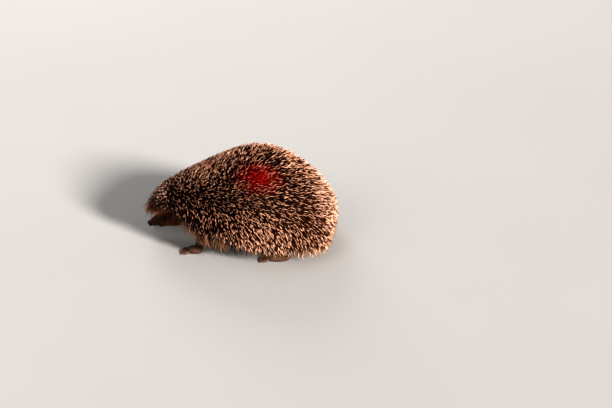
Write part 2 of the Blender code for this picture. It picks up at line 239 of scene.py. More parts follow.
def join(items, name):
    """One object from several."""
    with bpy.context.temp_override(active_object=items[0], selected_editable_objects=items):
        bpy.ops.object.join()
    items[0].name = name
    return items[0]


def loft(name, rings, looped=False):
    """Join rings of points in order, and the last with the first or each end with a point."""
    shape = bmesh.new()
    rows = [[shape.verts.new(point) for point in ring] for ring in rings]
    count = len(rows[0])
    following = rows[1:] + rows[:1] if looped else rows[1:]
    for row, next_row in zip(rows, following):
        for i in range(count):
            j = (i + 1) % count
            shape.faces.new((row[i], row[j], next_row[j], next_row[i]))
    for row in () if looped else (rows[0], rows[-1]):
        tip = shape.verts.new(sum((v.co for v in row), Vector()) / count)
        for i in range(count):
            shape.faces.new((row[i], row[(i + 1) % count], tip))
    return object_of(name, shape)


def ball(name, centre, radii, matrix=None, segments=24, rings=14):
    shape = bmesh.new()
    bmesh.ops.create_uvsphere(shape, u_segments=segments, v_segments=rings, radius=1.0)
    bmesh.ops.scale(shape, vec=Vector(radii), verts=shape.verts)
    bmesh.ops.translate(shape, vec=Vector(centre), verts=shape.verts)
    bmesh.ops.transform(shape, matrix=matrix or Matrix.Identity(4), verts=shape.verts)
    return object_of(name, shape)


def turn_angles(count):
    """Even angles once round."""
    return [2 * math.pi * i / count for i in range(count)]


def upright_to(direction):
    """Rotation that takes +Z to a direction."""
    return Vector(direction).to_track_quat("Z", "Y").to_matrix().to_4x4()


def limb(name, points, radii, sides=16):
    """A round limb through several points, with a radius at each."""
    points = [Vector(p) for p in points]
    rings = []
    for k, (centre, radius) in enumerate(zip(points, radii)):
        ahead = points[min(k + 1, len(points) - 1)]
        behind = points[max(k - 1, 0)]
        turn = upright_to(ahead - behind)
        rings.append([centre + turn @ Vector((math.cos(a), math.sin(a), 0.0)) * radius
                      for a in turn_angles(sides)])
    return loft(name, rings)


def mesh_arrays(mesh):
    """Vertex places and normals of a mesh."""
    co = np.empty(len(mesh.vertices) * 3, np.float32)
    mesh.vertices.foreach_get("co", co)
    normal = np.empty(len(mesh.vertices) * 3, np.float32)
    mesh.vertex_normals.foreach_get("vector", normal)
    return co.reshape(-1, 3).astype(float), normal.reshape(-1, 3).astype(float)


def set_places(mesh, places):
    mesh.vertices.foreach_set("co", places.astype(np.float32).ravel())
    mesh.update()


def add_values(mesh, name, values):
    attribute = mesh.attributes.new(name, "FLOAT", "POINT")
    attribute.data.foreach_set("value", values.astype(np.float32))


def unit(vectors):
    return vectors / np.maximum(np.linalg.norm(vectors, axis=-1, keepdims=True), 1e-12)


def smoothstep(low, high, value):
    share = np.clip((value - low) / (high - low), 0.0, 1.0)
    return share * share * (3 - 2 * share)


def bell(value, width):
    """1 where the value is 0, falling away smoothly within about the width on both sides."""
    return np.exp(-(value / width) ** 2)


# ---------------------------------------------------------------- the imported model, as a guide

def cad_tree(*names):
    """One search tree over some of the model's nodes."""
    vertices = []
    faces = []
    for name in names:
        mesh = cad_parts[name].data
        start = len(vertices)
        vertices += [v.co.copy() for v in mesh.vertices]
        faces += [[start + i for i in face.vertices] for face in mesh.polygons]
    return BVHTree.FromPolygons(vertices, faces)


def node_middle(name):
    low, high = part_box(name)
    return (low + high) / 2


def from_eye(points, name):
    """Distances of points from the middle of one eye."""
    return np.linalg.norm(points - np.array(node_middle("eye_" + name)), axis=1)


coat_tips = cad_tree("trunk", "neck", "head")

Station = namedtuple("Station", "x top half_width widest_z skirt_z floor")


def highest_under(x, y):
    """Height of the underside of the coat at one place, or 1 m where there is none."""
    hit = coat_tips.ray_cast(Vector((x, y, -1.0)), Vector((0, 0, 1)))[0]
    return hit.z if hit else 1.0


def measure_station(x):
    """Size of the mantle at one place along the body."""
    top = 0.0
    half_width = 0.0
    widest_z = 0.0
    for step in (-0.0012, 0.0, 0.0012):
        hit = coat_tips.ray_cast(Vector((x + step, 0.0, 1.0)), Vector((0, 0, -1)))[0]
        if hit:
            top = max(top, hit.z)
        for z in np.arange(0.020, 0.075, 0.0015):
            hit = coat_tips.ray_cast(Vector((x + step, 1.0, z)), Vector((0, -1, 0)))[0]
            if hit and hit.y > half_width:
                half_width = hit.y
                widest_z = hit.z
    skirt_z = min(highest_under(x, share * half_width) for share in SKIRT_AT)
    floor = highest_under(x, FLOOR_AT * half_width)
    return Station(x, top, half_width, widest_z, min(skirt_z, widest_z - 0.002), min(floor, widest_z - 0.001))


def smoothed(values, rounds):
    for _ in range(rounds):
        values[1:-1] = (values[:-2] + 2 * values[1:-1] + values[2:]) / 4
    return values


def measure_mantle():
    low, high = cad_box[0].x + 0.0012, cad_box[1].x - 0.0012
    xs = [low + (high - low) * (1 - math.cos(math.pi * k / (STATIONS - 1))) / 2 for k in range(STATIONS)]
    table = smoothed(np.array([measure_station(x) for x in xs]), 2)
    return [Station(x, *row[1:]) for x, row in zip(xs, table)]


MANTLE = measure_mantle()


def mantle_ring(x, top, half_width, widest_z, bottom, fullness_below):
    ring = []
    for angle in turn_angles(RING_POINTS):
        above = math.sin(angle) > 0
        power = 2.0 / (DOME_FULLNESS if above else fullness_below)
        out = math.copysign(abs(math.cos(angle)) ** power, math.cos(angle))
        reach = (top if above else bottom) - widest_z
        ring.append(Vector((x, half_width * out, widest_z + reach * abs(math.sin(angle)) ** power)))
    return ring


def make_guide():
    """Search tree over the outside of the spiny mantle, closed below at the level of its skirt."""
    rings = [mantle_ring(s.x, s.top, s.half_width, s.widest_z, s.skirt_z, SKIRT_FULLNESS) for s in MANTLE]
    item = loft("guide", rings)
    tree = BVHTree.FromPolygons([v.co.copy() for v in item.data.vertices],
                                [list(face.vertices) for face in item.data.polygons])
    bpy.data.objects.remove(item)
    return tree


GUIDE = make_guide()


# ---------------------------------------------------------------- skin

def make_body_form():
    """The back, flanks and crown: the mantle drawn in by the depth of the coat."""
    end = max(s.x for s in MANTLE)
    widest = max(s.half_width for s in MANTLE)
    tallest = max(s.top - s.widest_z for s in MANTLE)
    rings = []
    for s in MANTLE:
        rise = (s.top - s.widest_z) * (1 - BACK_DEPTH / tallest)
        rings.append(mantle_ring(s.x * (1 - END_DEPTH / end), s.widest_z + rise,
                                 s.half_width * (1 - FLANK_DEPTH / widest), s.widest_z,
                                 s.floor + min(UNDER_DEPTH, (s.widest_z - s.floor) / 2), HULL_FULLNESS))
    return loft("body_form", rings)


def head_matrix():
    """Axes of the head, placed by the model's nose."""
    along = Vector((-math.cos(HEAD_PITCH), 0.0, -math.sin(HEAD_PITCH)))
    up = Vector((-math.sin(HEAD_PITCH), 0.0, math.cos(HEAD_PITCH)))
    turn = Matrix((along, up.cross(along), up)).transposed().to_4x4()
    low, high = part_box("nose")
    # the nose's node is cut off flat behind, so its middle is read across and from its front
    tip = Vector((low.x, 0.0, 0.0))
    root_x = (tip - turn @ (NOSE_IN_HEAD + Vector((NOSE_RADII[0], 0.0, 0.0)))).x
    root_z = ((low + high) / 2 - turn @ (NOSE_IN_HEAD + Vector((NOSE_MIDDLE, 0.0, 0.0)))).z
    return Matrix.Translation((root_x, 0.0, root_z)) @ turn


HEAD = head_matrix()


def make_face_form():
    rings = []
    for section in FACE_SECTIONS:
        ring = []
        for angle in turn_angles(FACE_POINTS):
            out = section.half_width * math.cos(angle)
            up = section.half_height * math.sin(angle) + section.lift
            ring.append(HEAD @ Vector((section.along, out, up)))
        rings.append(ring)
    form = loft("face_form", rings)
    modify(form, "SUBSURF", levels=2, render_levels=2)
    return form


def ear_matrix(side):
    lean = Matrix.Rotation(-side * EAR_OUTWARD, 4, "X") @ Matrix.Rotation(side * EAR_TURN, 4, "Z")
    x, y, z = EAR_BASE
    return Matrix.Translation((x, side * y, z)) @ lean


def make_ear_form(side):
    """A rounded ear with a hollow front: an ellipsoid whose front is pressed back into its rear."""
    item = ball("ear_form", (0, 0, 0), EAR_RADII, segments=40, rings=28)
    co, _ = mesh_arrays(item.data)
    thick, wide, tall = EAR_RADII
    inner = np.clip(1 - (co[:, 1] / wide) ** 2 - (co[:, 2] / tall) ** 2, 0, 1)
    pressed = co[:, 0] < 0
    co[pressed, 0] += (2 * thick - EAR_WALL) * inner[pressed] ** 0.6
    co[:, 0] += 0.0022 * inner - 0.0034 * (co[:, 1] / wide) ** 2 + 0.0008 * smoothstep(0.0, tall, co[:, 2])
    co[:, 1] *= 0.78 + 0.24 * smoothstep(-tall, tall * 0.3, co[:, 2])
    set_places(item.data, co)
    item.data.transform(ear_matrix(side) @ Matrix.Translation((0.0, 0.0, EAR_RISE)))
    return item


def foot_matrix(kind, side):
    leg = LEGS[kind]
    heading = math.pi - side * math.radians(leg.toes_out)
    return Matrix.Translation((leg.ankle[0], side * leg.ankle[1], 0.0)) @ Matrix.Rotation(heading, 4, "Z")


def toe_places(kind):
    """Knuckle, tip and direction of each toe, in the foot's own axes."""
    leg = LEGS[kind]
    places = []
    for i in range(TOES):
        spread = math.radians(leg.toe_spread) * (2 * i / (TOES - 1) - 1)
        forward = Vector((math.cos(spread), math.sin(spread), 0.0))
        knuckle = Vector((SOLE_FORWARD[kind] + forward.x * leg.sole_radii[0] * 0.86,
                          forward.y * leg.sole_radii[1] * 1.20, TOE_RADIUS * 1.35))
        tip = knuckle + forward * leg.toe_length
        tip.z = TOE_RADIUS * 0.95
        places.append((knuckle, tip, forward))
    return places


def make_leg_forms(kind, side):
    leg = LEGS[kind]
    frame_ = foot_matrix(kind, side)
    hip = Vector((leg.hip[0], side * leg.hip[1], leg.hip[2]))
    ankle = Vector((leg.ankle[0], side * leg.ankle[1], leg.ankle[2]))
    parts = [limb("leg_form", (hip, hip.lerp(ankle, 0.5), ankle.lerp(hip, 0.12), ankle),
                  (leg.hip_radius, (leg.hip_radius + leg.ankle_radius) / 2, leg.ankle_radius,
                   leg.ankle_radius * 0.8))]
    parts.append(ball("sole_form", (SOLE_FORWARD[kind], 0.0, SOLE_HEIGHT), leg.sole_radii, frame_))
    toe_radii = (TOE_RADIUS, TOE_RADIUS, leg.toe_length * 0.70)
    for knuckle, tip, forward in toe_places(kind):
        middle = (knuckle + tip) / 2
        turn = frame_ @ Matrix.Translation(middle) @ upright_to(tip - knuckle)
        parts.append(ball("toe_form", (0, 0, 0), toe_radii, turn, 14, 9))
        pad = tip - forward * 0.0008
        parts.append(ball("pad_form", (pad.x, pad.y, TOE_RADIUS * 0.8), TOE_PAD_RADII, frame_, 12, 8))
    return parts


def sculpt_face(co, normal):
    """Sockets, brows, whisker pads and the line of the mouth, as moves of the skin along its normals."""
    along, across, up = in_head(co).T
    aside = np.abs(across)
    on_face = smoothstep(0.006, 0.014, along)
    move = np.zeros(len(co))
    for name, _ in SIDES:
        away = from_eye(co, name)
        move -= SOCKET_DEPTH * bell(away, 0.0046)
        move += BROW_RISE * bell(away - 0.0062, 0.0020) * smoothstep(0.000, 0.006, up)
    # line of the mouth, low on each side of the muzzle
    mouth_up = -0.0034 - 0.18 * (0.0500 - along) + 0.0012 * np.sin((along - 0.030) * 160)
    line = bell(up - mouth_up, 0.0007) * smoothstep(0.028, 0.034, along) * smoothstep(0.054, 0.050, along)
    move -= MOUTH_DEPTH * line * smoothstep(0.0012, 0.0028, aside)
    # whisker pads on the muzzle
    pad = bell(along - 0.0485, 0.0045) * bell(up + 0.0008, 0.0030)
    move += PAD_RISE * pad * smoothstep(0.0010, 0.0035, aside)
    return co + normal * (move * on_face)[:, None]


def make_lid(name, side):
    """A soft rim round one eye, a little narrower from top to bottom than from front to back."""
    centre = node_middle("eye_" + name)
    head_up = HEAD.to_3x3() @ Vector((0, 0, 1))
    outward = (HEAD.to_3x3() @ Vector((0.42, -side * 1.0, 0.30))).normalized()
    forward = head_up.cross(outward).normalized()
    upward = outward.cross(forward).normalized()
    rings = []
    for a in turn_angles(40):
        reach = Vector((math.cos(a), math.sin(a)))
        at = centre + forward * reach.x * EYE_RADIUS * 1.04
        at += upward * reach.y * abs(reach.y) ** 0.3 * EYE_RADIUS * 0.86
        at += outward * EYE_RADIUS * (0.24 + 0.12 * reach.y)
        out = (forward * reach.x + upward * reach.y).normalized()
        rings.append([at + out * LID_RADIUS * math.cos(b) + outward * LID_RADIUS * math.sin(b)
                      for b in turn_angles(10)])
    return loft("lid", rings, looped=True)


def make_skin():
    """One skin over the whole animal, joined by remeshing and then shaped."""
    forms = [make_body_form(), make_face_form()]
    jaw = ball("jaw_form", JAW_CENTRE, JAW_RADII, HEAD)
    forms += [jaw, ball("belly_form", *BELLY), ball("throat_form", *THROAT)]
    forms.append(limb("tail_form", (TAIL_ROOT, TAIL_TIP), TAIL_RADII, 12))
    for _, side in SIDES:
        forms.append(make_ear_form(side))
        for kind in LEGS:
            forms += make_leg_forms(kind, side)
    skin = join(forms, "skin")
    modify(skin, "REMESH", mode="VOXEL", voxel_size=VOXEL)
    modify(skin, "SMOOTH", factor=0.5, iterations=5)
    co, normal = mesh_arrays(skin.data)
    co = sculpt_face(co, normal)
    co[:, 2] = np.maximum(co[:, 2], LOWEST_SKIN)
    set_places(skin.data, co)
    thin_covered_skin(skin, co)
    lids = [make_lid(name, side) for name, side in SIDES]
    skin = join([skin] + lids, "skin")
    skin.data.validate()
    skin.data.shade_smooth()
    return skin


def thin_covered_skin(skin, co):
    """Fewer faces where the spines hide the skin; face, ears and feet keep theirs."""
    covered = smoothstep(-0.060, -0.045, co[:, 0]) * smoothstep(0.024, 0.034, co[:, 2])
    group = skin.vertex_groups.new(name="covered")
    levels = np.round(covered * 4).astype(int)
    for level in range(5):
        group.add(np.flatnonzero(levels == level).tolist(), max(0.02, level / 4), "REPLACE")
    modify(skin, "DECIMATE", ratio=SKIN_SHARE, vertex_group="covered", vertex_group_factor=1.0)
    skin.vertex_groups.clear()


# ---------------------------------------------------------------- coat

Roots = namedtuple("Roots", "points normals")


def chosen(roots, mask):
    return Roots(roots.points[mask], roots.normals[mask])


def spread_points(mesh, spacing, keep, rng):
    """Roots spread over a mesh where keep allows, no two nearer than the spacing."""
    mesh.calc_loop_triangles()
    co, normal = mesh_arrays(mesh)
    tris = np.empty(len(mesh.loop_triangles) * 3, np.int32)
    mesh.loop_triangles.foreach_get("vertices", tris)
    tris = tris.reshape(-1, 3)
    a, b, c = (co[tris[:, k]] for k in range(3))
    tris = tris[keep((a + b + c) / 3, unit(normal[tris].sum(1)))]
    a, b, c = (co[tris[:, k]] for k in range(3))
    area = np.linalg.norm(np.cross(b - a, c - a), axis=1) / 2
    count = int(area.sum() / spacing ** 2 * TRIES)
    pick = np.searchsorted(np.cumsum(area), rng.random(count) * area.sum()).clip(0, len(tris) - 1)
    u, v = rng.random((2, count))
    flip = u + v > 1
    u[flip], v[flip] = 1 - u[flip], 1 - v[flip]
    w = 1 - u - v
    points = a[pick] * w[:, None] + b[pick] * u[:, None] + c[pick] * v[:, None]
    corner = normal[tris[pick]]
    normals = unit(corner[:, 0] * w[:, None] + corner[:, 1] * u[:, None] + corner[:, 2] * v[:, None])
    tree = KDTree(count)
    for i, point in enumerate(points):
        tree.insert(point, i)
    tree.balance()
    taken = bytearray(count)
    kept = []
    for i in range(count):
        if not taken[i]:
            kept.append(i)
            for _, j, _ in tree.find_range(points[i], spacing):
                taken[j] = 1
    return Roots(points[kept], normals[kept])


def tangent(vectors, normals):
    return unit(vectors - normals * (vectors * normals).sum(1)[:, None])


def leaning(flow, normals, lift):
    return flow * np.cos(lift)[:, None] + normals * np.sin(lift)[:, None]


def turned(flow, normals, angle):
    """Flow turned in the surface by an angle."""
    return flow * np.cos(angle)[:, None] + np.cross(normals, flow) * np.sin(angle)[:, None]


def into(matrix, points):
    """Points in the axes of a matrix."""
    inverse = np.array(matrix.inverted())
    return points @ inverse[:3, :3].T + inverse[:3, 3]


def in_head(points):
    return into(HEAD, points)


def hem_height(points):
    xs, zs = zip(*HEM)
    return np.interp(points[:, 0], xs, zs)


def near_line(points, start, end):
    """How far points are from a line, and how far along it they lie (0 to 1)."""
    start, end = np.array(start), np.array(end)
    run = end - start
    share = np.clip((points - start) @ run / (run @ run), 0, 1)
    return np.linalg.norm(points - start - share[:, None] * run, axis=1), share


def leg_line(kind, side):
    leg = LEGS[kind]
    return (leg.hip[0], side * leg.hip[1], leg.hip[2]), (leg.ankle[0], side * leg.ankle[1], leg.ankle[2])


def on_limbs(points):
    """Whether points lie on the legs or feet."""
    mask = points[:, 2] < 0.0095
    for kind in LEGS:
        for name, side in SIDES:
            away, _ = near_line(points, *leg_line(kind, side))
            mask |= (away < LEGS[kind].hip_radius * 1.10) & (points[:, 2] < 0.032)
            low, high = (np.array(corner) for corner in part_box(kind + "foot_" + name))
            inside = np.abs(points - (low + high) / 2) < (high - low) / 2 + 0.001
            mask |= inside[:, 0] & inside[:, 1] & (points[:, 2] < 0.0165)
    return mask


def on_ears(points):
    mask = np.zeros(len(points), bool)
    for _, side in SIDES:
        thick, wide, tall = into(ear_matrix(side), points).T
        wide = wide / (EAR_RADII[1] + 0.0012)
        tall = (tall - EAR_RISE) / (EAR_RADII[2] + 0.0012)
        mask |= (np.abs(thick) < 0.0042) & (np.hypot(wide, tall) < 1) & (tall > -0.70)
    return mask


def beside_ears(points):
    """1 round the ears, 0 well away from them."""
    near = np.zeros(len(points))
    for _, side in SIDES:
        middle = np.array(ear_matrix(side) @ Vector((0.0, 0.0, EAR_RISE)))
        near = np.maximum(near, smoothstep(0.020, 0.013, np.linalg.norm(points - middle, axis=1)))
    return near


def on_tail(points):
    away, _ = near_line(points, TAIL_ROOT, TAIL_TIP)
    return (away < TAIL_RADII[0] * 1.2) & (points[:, 2] < 0.031)


def under_hood(points):
    """Whether points lie on the face, cheeks or throat, ahead of the shoulders and below the spines."""
    return (points[:, 0] < -0.050) & (points[:, 2] < hem_height(points))


def on_mantle(points, normals):
    """Where the spines grow: above the hem, and not on the face or the hood's underside."""
    along, across, up = in_head(points).T
    face = (along > 0.004) & (np.hypot(across, up) < 0.030) & (points[:, 2] < 0.052)
    return (points[:, 2] > hem_height(points)) & (normals[:, 2] > -0.5) & ~face & ~on_ears(points)


def on_fringe(points, normals):
    """A strip along the hem, from the shoulders round the rump."""
    rise = points[:, 2] - hem_height(points)
    outer = (rise > -0.020) & (rise < 0.007) & (normals[:, 2] > -0.6) & (np.abs(points[:, 1]) > 0.030)
    outer |= (rise > -0.004) & (rise < 0.007) & (normals[:, 2] > -0.8)
    edge = (rise <= 0.0) & (normals[:, 2] <= -0.3) & (np.hypot(points[:, 0] * 0.55, points[:, 1]) > 0.054)
    return (points[:, 0] > -0.066) & (outer | edge) & ~on_limbs(points) & ~on_tail(points)


def on_brow(points, normals):
    """The edge of the hood over the face and the cheeks."""
    rise = points[:, 2] - hem_height(points)
    return (points[:, 0] <= -0.060) & (rise > -0.005) & (rise < 0.004) & (np.abs(points[:, 1]) < 0.060)


def face_size(along, size):
    """A size of the face's sections, between them too."""
    return np.interp(along, [s.along for s in FACE_SECTIONS], [getattr(s, size) for s in FACE_SECTIONS])


def over_face(points):
    """1 on the hood's underside above the face, 0 on the face itself."""
    along, _, up = in_head(points).T
    above = up - face_size(along, "half_height")
    return smoothstep(0.003, 0.007, above) * smoothstep(0.012, 0.020, along)


def on_face(points, normals):
    along = in_head(points)[:, 0]
    over = over_face(points) > 0.5
    face = (along > -0.012) & np.where(over, normals[:, 2] < -0.35, along < 0.034)
    return under_hood(points) & face & ~on_ears(points) & ~near_eyes(points) & ~on_limbs(points)


def on_muzzle(points, normals):
    along = in_head(points)[:, 0]
    muzzle = (along >= 0.026) & (along < 0.0550) & (over_face(points) <= 0.5)
    return under_hood(points) & muzzle & ~near_eyes(points)


def near_eyes(points):
    return np.any([from_eye(points, name) < EYE_RADIUS * 1.33 for name, _ in SIDES], axis=0)


def on_belly(points, normals):
    """The underside, the throat and the inside of the skirt."""
    along = in_head(points)[:, 0]
    low = (points[:, 2] < hem_height(points)) & ((normals[:, 2] < 0.2) | (points[:, 2] < 0.026))
    low &= (points[:, 0] > -0.095) & (along <= -0.012)
    return low & ~on_limbs(points) & ~on_tail(points) & ~on_ears(points)


def on_shanks(points):
    """Whether points lie on the legs above the feet."""
    mask = np.zeros(len(points), bool)
    for kind, leg in LEGS.items():
        for _, side in SIDES:
            away, _ = near_line(points, *leg_line(kind, side))
            mask |= away < leg.ankle_radius * 1.12 + 0.05 * (points[:, 2] - 0.010)
    return mask & (points[:, 2] > 0.0095)


def on_legs(points, normals):
    return on_limbs(points) & (points[:, 2] < 0.031) & (on_shanks(points) | (points[:, 2] > 0.0125))


def on_feet(points, normals):
    """The tops of the feet and toes, not the soles or the tips of the toes."""
    top = (points[:, 2] > 0.0024) & (points[:, 2] <= 0.0125) & (normals[:, 2] > -0.1)
    return on_limbs(points) & top & ~on_shanks(points)


def on_ear_backs(points, normals):
    return on_ears(points) & (points[:, 2] > 0.036)


def tail_part(points, normals):
    return on_tail(points)


def mantle_flow(points, normals, rng):
    """The lie of the spines: back towards the rump and down the flanks, and out from a whorl on the crown."""
    x, _, z = points.T
    back = np.zeros_like(points)
    back[:, 0] = 1.0
    down = normals * normals[:, 2:3] - np.array((0.0, 0.0, 1.0))
    low = smoothstep(0.098, 0.036, z)                       # 0 on the back, 1 at the hem
    rear = smoothstep(0.048, 0.106, x)
    front = smoothstep(-0.010, -0.050, x)
    weight = 0.12 + (0.95 + 0.6 * front) * low + 1.2 * rear
    flow = tangent(back, normals) * (1 - 0.6 * rear)[:, None] + down * weight[:, None]
    brow = smoothstep(-0.074, -0.096, x)
    outward = tangent((points - np.array(WHORL)) * np.array((1.0, 0.8, 1.0)), normals)
    flow = tangent(flow * (1 - brow)[:, None] + outward * brow[:, None], normals)
    return turned(flow, normals, rng.normal(0, 0.26, len(points)) * (1 + 0.6 * brow))


def reach_to_tips(points, directions):
    """Distance from points to the outside of the coat."""
    reach = np.full(len(points), LONGEST)
    for i in range(len(points)):
        hit, _, _, distance = GUIDE.ray_cast(Vector(points[i]), Vector(directions[i]), LONGEST)
        if hit:
            reach[i] = distance
    return reach


def lift_to_tips(points, normals, flow, length, rng):
    """Lifts and lengths at which strands end on the outside of the mantle; nearly upright at the whorl."""
    away = np.linalg.norm(points - np.array(WHORL), axis=1)
    low = 0.14 + 1.10 * bell(away, WHORL_SIZE)
    high = np.full(len(points), 1.40)
    for _ in range(6):
        middle = (low + high) / 2
        long = reach_to_tips(points, leaning(flow, normals, middle)) > length
        low = np.where(long, middle, low)
        high = np.where(long, high, middle)
    lift = (high + rng.normal(0, 0.12, len(points))).clip(0.10, 1.45)
    reach = reach_to_tips(points, leaning(flow, normals, lift))
    return lift, np.minimum(reach, length * 1.12)


# ---------------------------------------------------------------- strands

def strand_template(heights, sides):
    """Faces of one strand as its own vertex numbers, with the place of each corner on its patch."""
    rows = len(heights)
    levels = (0.0,) + tuple(heights) + (1.0,)                 # the first is the cap at the root
    corners = []
    totals = []

    def add(*face):
        totals.append(len(face))
        corners.extend(face)

    for k in range(rows - 1):
        for i in range(sides):
            j = (i + 1) % sides
            add((k * sides + i, i, levels[k + 1]), (k * sides + j, i + 1, levels[k + 1]),
                ((k + 1) * sides + j, i + 1, levels[k + 2]), ((k + 1) * sides + i, i, levels[k + 2]))
    last = (rows - 1) * sides
    for i in range(sides):
        j = (i + 1) % sides
        add((last + i, i, levels[rows]), (last + j, i + 1, levels[rows]), (rows * sides, i + 0.5, 1.0))
    add(*((i, sides / 2 + math.cos(2 * math.pi * i / sides) * 0.3, 0.02 * math.sin(2 * math.pi * i / sides))
          for i in reversed(range(sides))))
    vertex, across, up = zip(*corners)
    patch = np.stack((np.array(across) / sides - 0.5, np.array(up, float) - 0.5), 1)
    return np.array(vertex), np.array(totals), patch


def strand_mesh(name, roots, start, end, lengths, radii, profile, heights, sides, flat, places, rng):
    """Closed tapering strands: each leaves its root along start and reaches its tip along end.

    profile gives the strand's radius at each of the heights, as shares of radii; flat is its thickness
    as a share of its width. Each strand is a small patch of the map OFBake, at its root's place.
    """
    count = len(roots)
    fall = -(start[:, 2] + end[:, 2]) / 2                     # height lost for each length of strand
    room = np.maximum(roots[:, 2] - LOWEST_TIP, 0.0)
    lengths = np.where(fall * lengths > room, np.maximum(room / np.maximum(fall, 1e-6), 0.0004), lengths)
    t = np.array(heights)[None, :, None]
    bend = roots + start * (lengths * 0.5)[:, None]
    tips = bend + end * (lengths * 0.5)[:, None]
    centre = roots[:, None] * (1 - t) ** 2 + bend[:, None] * 2 * t * (1 - t) + tips[:, None] * t ** 2
    heading = unit((bend - roots)[:, None] * (1 - t) + (tips - bend)[:, None] * t)
    side = np.cross(start, unit(rng.normal(size=(count, 3))))
    aside = unit(np.cross(np.cross(heading, unit(side)[:, None]), heading))
    other = np.cross(heading, aside)
    angle = (2 * math.pi * np.arange(sides) / sides)[None, None, :, None]
    ring = aside[:, :, None] * np.cos(angle) + other[:, :, None] * np.sin(angle) * flat
    width = radii[:, None] * np.array(profile)[None, :]
    rows = len(heights)
    per = rows * sides + 1
    rings = (centre[:, :, None] + ring * width[:, :, None, None]).reshape(count, rows * sides, 3)
    vertices = np.concatenate((rings, tips[:, None]), axis=1)

    vertex, totals, patch = strand_template(heights, sides)
    loops = (vertex[None] + (np.arange(count) * per)[:, None]).ravel()
    totals = np.tile(totals, count)
    mesh = bpy.data.meshes.new(name)
    mesh.vertices.add(count * per)
    mesh.vertices.foreach_set("co", vertices.astype(np.float32).ravel())
    mesh.loops.add(len(loops))
    mesh.loops.foreach_set("vertex_index", loops.astype(np.int32))
    mesh.polygons.add(len(totals))
    mesh.polygons.foreach_set("loop_start", (np.cumsum(totals) - totals).astype(np.int32))
    mesh.update(calc_edges=True)
    mesh.shade_smooth()

    add_values(mesh, "along", np.tile(np.concatenate((np.repeat(heights, sides), (1.0,))), count))
    add_values(mesh, "chance", np.repeat(rng.random(count), per))
    layer = mesh.uv_layers.new(name="OFBake", do_init=False)
    spots = places[:, None] + patch[None] * PATCH
    layer.uv.foreach_set("vector", spots.reshape(-1, 2).astype(np.float32).ravel())
    return object_from(name, mesh)


def unroll(points, height=0.045):
    """Places on the skin unrolled round a line along the body at some height, scaled to fill the map."""
    around = np.arctan2(points[:, 1], points[:, 2] - height)
    places = np.stack((around, points[:, 0]), 1)
    low = places.min(0)
    margin = 0.006
    return margin + (1 - 2 * margin) * (places - low) / (places.max(0) - low)


# ---------------------------------------------------------------- spines and fur

def make_spines(name, roots, rng):
    """Spines whose tips reach the outside of the mantle."""
    points, normals = roots
    count = len(points)
    crown = smoothstep(-0.070, -0.100, points[:, 0])
    length = (SPINE_LENGTH + CROWN_LENGTH * crown) * rng.normal(1.0, 0.06, count).clip(0.85, 1.15)
    flow = mantle_flow(points, normals, rng)
    lift, length = lift_to_tips(points, normals, flow, length, rng)
    length = length * rng.normal(0.97, 0.06, count).clip(0.78, 1.04)
    # shorter low on the shoulder, where the fringe shows below them
    rise = points[:, 2] - hem_height(points)
    length = length * (1 - 0.45 * smoothstep(0.016, 0.002, rise) * smoothstep(0.030, -0.030, points[:, 0]))
    radii = (SPINE_RADIUS + CROWN_RADIUS * crown) * rng.normal(1.0, 0.09, count).clip(0.8, 1.25)
    return strand_mesh(name, points - normals * SPINE_DEPTH, leaning(flow, normals, lift + 0.10),
                       leaning(flow, normals, lift - 0.10), length, radii, SPINE_PROFILE, SPINE_HEIGHTS,
                       5, 1.0, unroll(points), rng)


def make_all_spines(skin, rng):
    roots = spread_points(skin.data, SPINE_SPACING, on_mantle, rng)
    x, y, _ = roots.points.T
    regions = {
        "spines_crown": x < -0.052,
        "spines_left": (x >= -0.052) & (x < 0.060) & (y < 0),
        "spines_right": (x >= -0.052) & (x < 0.060) & (y >= 0),
        "spines_rump": x >= 0.060,
    }
    return [make_spines(name, chosen(roots, mask), rng) for name, mask in regions.items()]


def make_fur(fur, skin, rng):
    """Short fur: flat tufts lying along the skin."""
    points, normals = spread_points(skin.data, fur.spacing, fur.keep, rng)
    count = len(points)
    flow = turned(tangent(fur.flow(points, normals), normals), normals, rng.normal(0, 0.20, count))
    length = fur.length(points) * rng.normal(1.0, 0.14, count).clip(0.6, 1.4)
    lifts = fur.lift(points) * rng.normal(1.0, 0.22, count).clip(0.4, 1.7)
    radii = fur.radius * rng.normal(1.0, 0.15, count).clip(0.6, 1.4)
    depth = np.minimum(0.0003, length * 0.05)
    return strand_mesh(fur.name, points - normals * depth[:, None], leaning(flow, normals, lifts * 1.5),
                       leaning(flow, normals, lifts * 0.5), length, radii, FUR_PROFILE, FUR_HEIGHTS,
                       3, 0.5, unroll(points, points[:, 2].mean()), rng)


def face_flow(points, normals):
    """Back from the nose over the muzzle and forehead, and down and back on the cheeks."""
    along = in_head(points)[:, 0]
    back = np.array(HEAD.to_3x3() @ Vector((-1, 0, 0)))
    cheek = smoothstep(0.034, 0.008, along)
    flow = back[None] + cheek[:, None] * np.array((0.25, 0.0, -0.55))[None]
    flow = np.broadcast_to(flow, points.shape).copy()
    flow[:, 1] += 0.35 * cheek * np.sign(points[:, 1])
    return flow


def face_lift(points):
    """The hair stands out more on the forehead than on the muzzle."""
    along, _, up = in_head(points).T
    lift = 0.20 + 0.58 * smoothstep(0.043, 0.027, along) * smoothstep(0.0, 0.008, up)
    return np.maximum(lift, over_face(points)) * (1 - 0.6 * beside_ears(points))


def face_length(points):
    along, _, up = in_head(points).T
    length = np.interp(along, (-0.010, 0.010, 0.026, 0.038, 0.052), (0.0110, 0.0090, 0.0058, 0.0036, 0.0018))
    length = length * (1 + 0.45 * smoothstep(0.0, 0.008, up) * smoothstep(0.046, 0.030, along))
    return np.maximum(length, 0.0120 * over_face(points)) * (1 - 0.45 * beside_ears(points))


